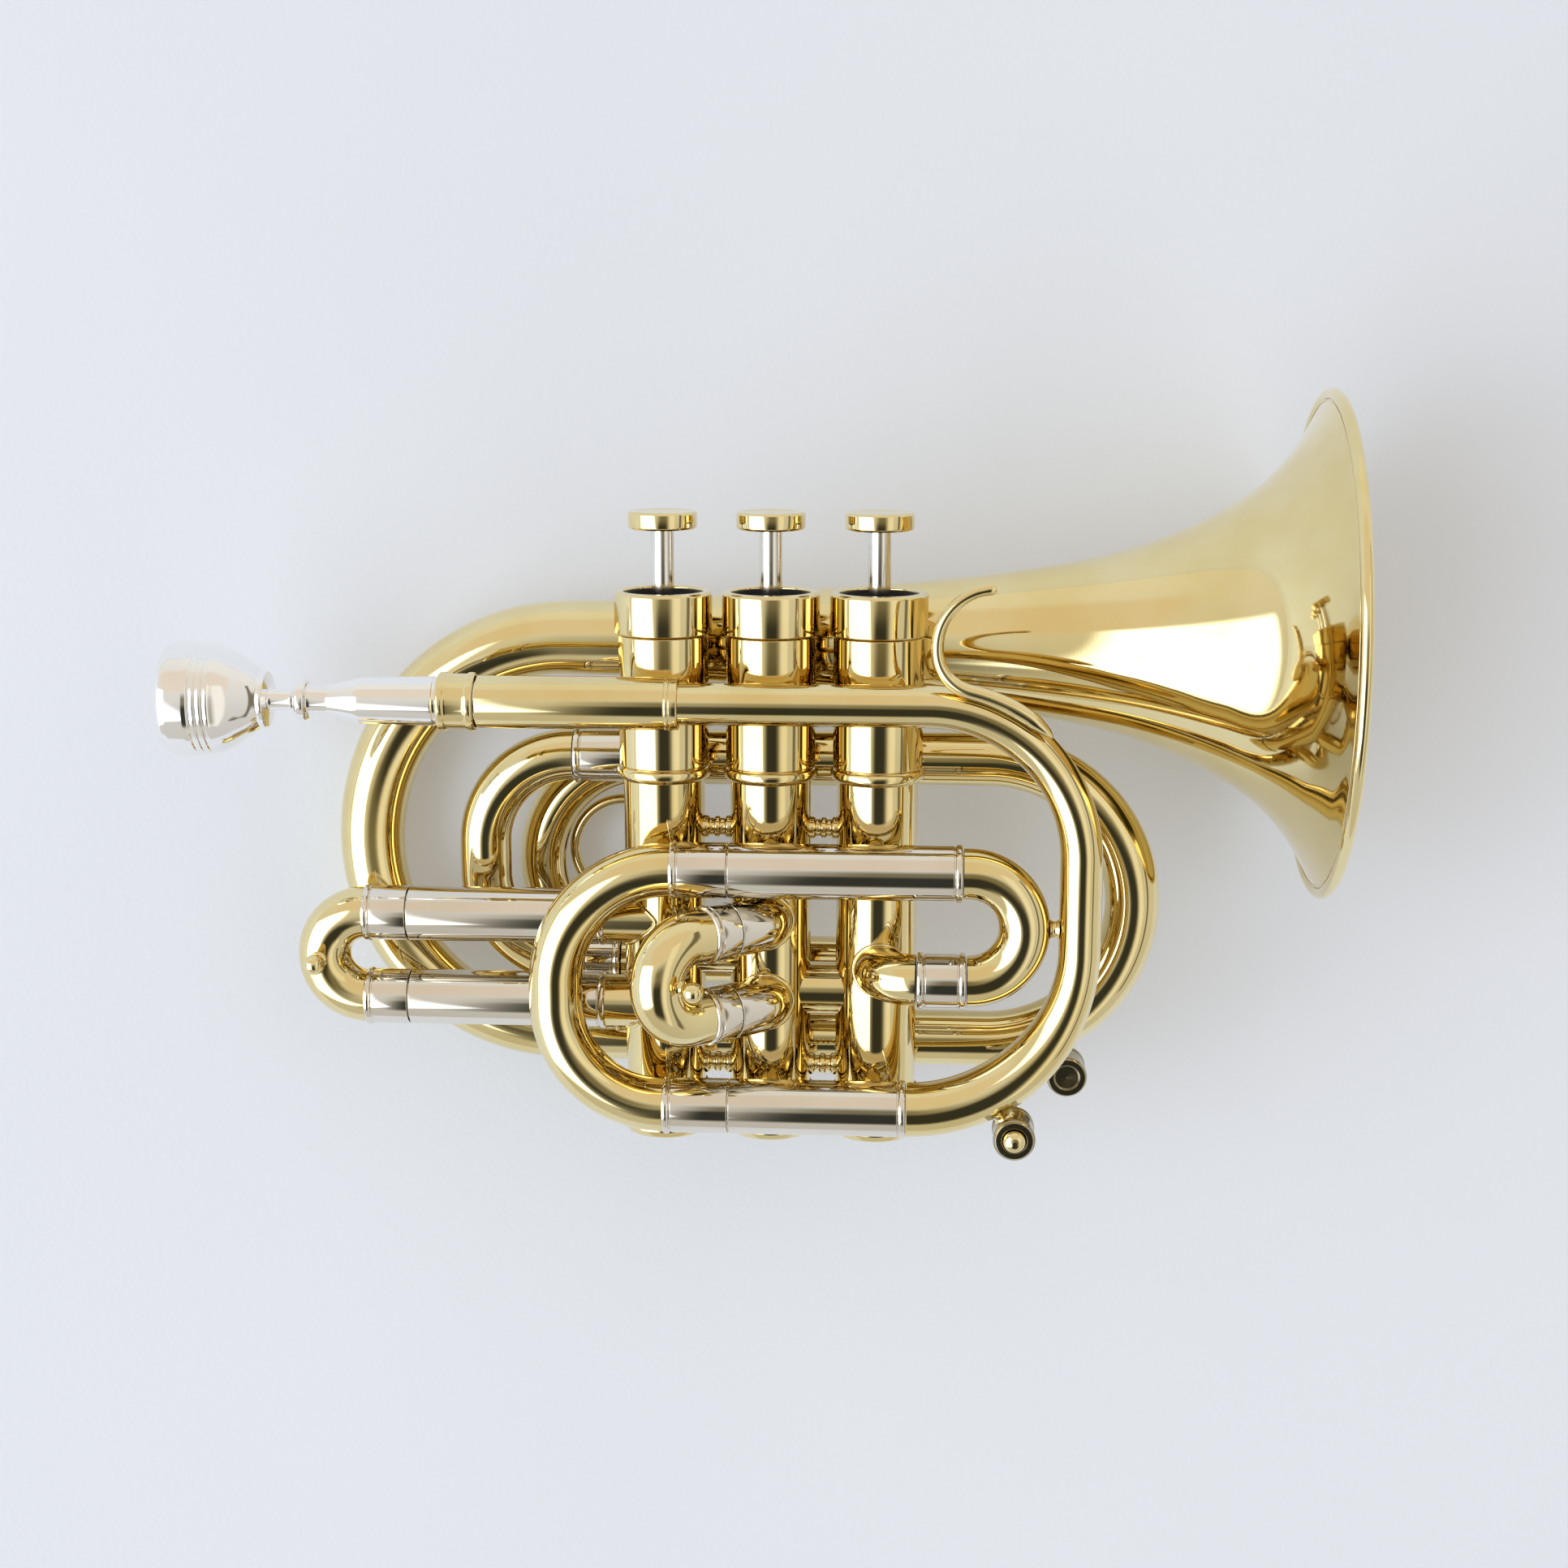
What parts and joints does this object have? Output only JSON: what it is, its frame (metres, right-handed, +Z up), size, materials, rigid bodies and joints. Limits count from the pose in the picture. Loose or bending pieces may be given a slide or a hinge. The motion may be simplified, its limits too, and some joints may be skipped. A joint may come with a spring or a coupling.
{
  "type": "pocket trumpet",
  "caption": "Pocket trumpet with piston valves, a leadpipe wound round them, pull-out tuning slides, water keys and a full-size flared bell, lying on its side.",
  "frame": {"origin": "centre of the bounding box on the table it lies on", "axes": "+X from the mouthpiece towards the bell, +Y towards the valve buttons, +Z up from the table; the instrument leans on its bell rim, its third slide and its tail bow"},
  "size_m": [0.2872, 0.1788, 0.119],
  "materials": {
    "lacquered_brass": "clear-lacquered polished brass",
    "nickel_silver": "polished nickel silver",
    "dark_steel": "dark aged steel",
    "steel": "smooth polished steel",
    "silver_plate": "polished silver plate"
  },
  "bodies": {
    "instrument": {"bell": "lacquered_brass", "tail_bow": "lacquered_brass", "far_loop": "lacquered_brass", "upper_ferrule": "nickel_silver", "exit_ferrule": "nickel_silver", "exit_bow": "lacquered_brass", "exit_elbow": "lacquered_brass", "casing_1": "lacquered_brass", "casing_2": "lacquered_brass", "casing_3": "lacquered_brass", "top_cap_1": "lacquered_brass", "top_cap_2": "lacquered_brass", "top_cap_3": "lacquered_brass", "bottom_cap_1": "lacquered_brass", "bottom_cap_2": "lacquered_brass", "bottom_cap_3": "lacquered_brass", "knuckle_12": "lacquered_brass", "knuckle_23": "lacquered_brass", "valve_brace_12_lower": "lacquered_brass", "valve_brace_23_lower": "lacquered_brass", "valve_brace_12_upper": "lacquered_brass", "valve_brace_23_upper": "lacquered_brass", "receiver": "lacquered_brass", "leadpipe_sleeve": "lacquered_brass", "leadpipe": "lacquered_brass", "tuning_outer_upper": "nickel_silver", "tuning_outer_lower": "nickel_silver", "entry_bow": "lacquered_brass", "entry_ferrule": "nickel_silver", "entry_elbow": "lacquered_brass", "first_outer_upper": "nickel_silver", "first_outer_lower": "nickel_silver", "second_outer_upper": "nickel_silver", "second_outer_lower": "nickel_silver", "third_outer_upper": "lacquered_brass", "third_outer_lower": "lacquered_brass", "pinky_hook": "lacquered_brass", "bell_stay": "lacquered_brass", "water_key_barrel_front": "dark_steel", "water_key_barrel_back": "dark_steel", "spring_1": "steel", "spring_2": "steel", "spring_3": "steel"},
    "valve_1": {"piston_1": "nickel_silver", "stem_1": "steel", "button_1": "lacquered_brass"},
    "valve_2": {"piston_2": "nickel_silver", "stem_2": "steel", "button_2": "lacquered_brass"},
    "valve_3": {"piston_3": "nickel_silver", "stem_3": "steel", "button_3": "lacquered_brass"},
    "tuning_slide": {"tuning_slide": "lacquered_brass"},
    "first_slide": {"first_slide": "lacquered_brass"},
    "second_slide": {"second_slide": "lacquered_brass"},
    "third_slide": {"third_slide": "lacquered_brass", "third_slide_ring": "lacquered_brass"},
    "mouthpiece": {"mouthpiece": "silver_plate"},
    "water_key_front": {"water_key_button_front": "lacquered_brass"},
    "water_key_back": {"water_key_button_back": "lacquered_brass"}
  },
  "joints": [
    {"name": "valve_1_press", "type": "slide", "parent": "instrument", "child": "valve_1", "axis": [0.0125, -0.9934, -0.1136], "range_m": [0, 0.017], "stiffness_N_per_m": 90, "springref_m": -0.03, "deforming": ["spring_1"]},
    {"name": "valve_2_press", "type": "slide", "parent": "instrument", "child": "valve_2", "axis": [0.0125, -0.9934, -0.1136], "range_m": [0, 0.017], "stiffness_N_per_m": 90, "springref_m": -0.03, "deforming": ["spring_2"]},
    {"name": "valve_3_press", "type": "slide", "parent": "instrument", "child": "valve_3", "axis": [0.0125, -0.9934, -0.1136], "range_m": [0, 0.017], "stiffness_N_per_m": 90, "springref_m": -0.03, "deforming": ["spring_3"]},
    {"name": "tuning_slide_pull", "type": "slide", "parent": "instrument", "child": "tuning_slide", "axis": [-0.9763, 0.0125, -0.2159], "range_m": [0, 0.022]},
    {"name": "first_slide_pull", "type": "slide", "parent": "instrument", "child": "first_slide", "axis": [-0.9763, 0.0125, -0.2159], "range_m": [0, 0.02]},
    {"name": "second_slide_pull", "type": "slide", "parent": "instrument", "child": "second_slide", "axis": [-0.87, -0.0668, 0.4884], "range_m": [0, 0.004]},
    {"name": "third_slide_pull", "type": "slide", "parent": "instrument", "child": "third_slide", "axis": [-0.9763, 0.0125, -0.2159], "range_m": [0, 0.02]},
    {"name": "mouthpiece_pull", "type": "slide", "parent": "instrument", "child": "mouthpiece", "axis": [-0.9763, 0.0125, -0.2159], "range_m": [0, 0.026]},
    {"name": "water_key_front_press", "type": "slide", "parent": "instrument", "child": "water_key_front", "axis": [0.2159, 0.1136, -0.9698], "range_m": [0, 0.002], "stiffness_N_per_m": 300, "springref_m": -0.004},
    {"name": "water_key_back_press", "type": "slide", "parent": "instrument", "child": "water_key_back", "axis": [-0.2159, -0.1136, 0.9698], "range_m": [0, 0.002], "stiffness_N_per_m": 300, "springref_m": -0.004}
  ]
}
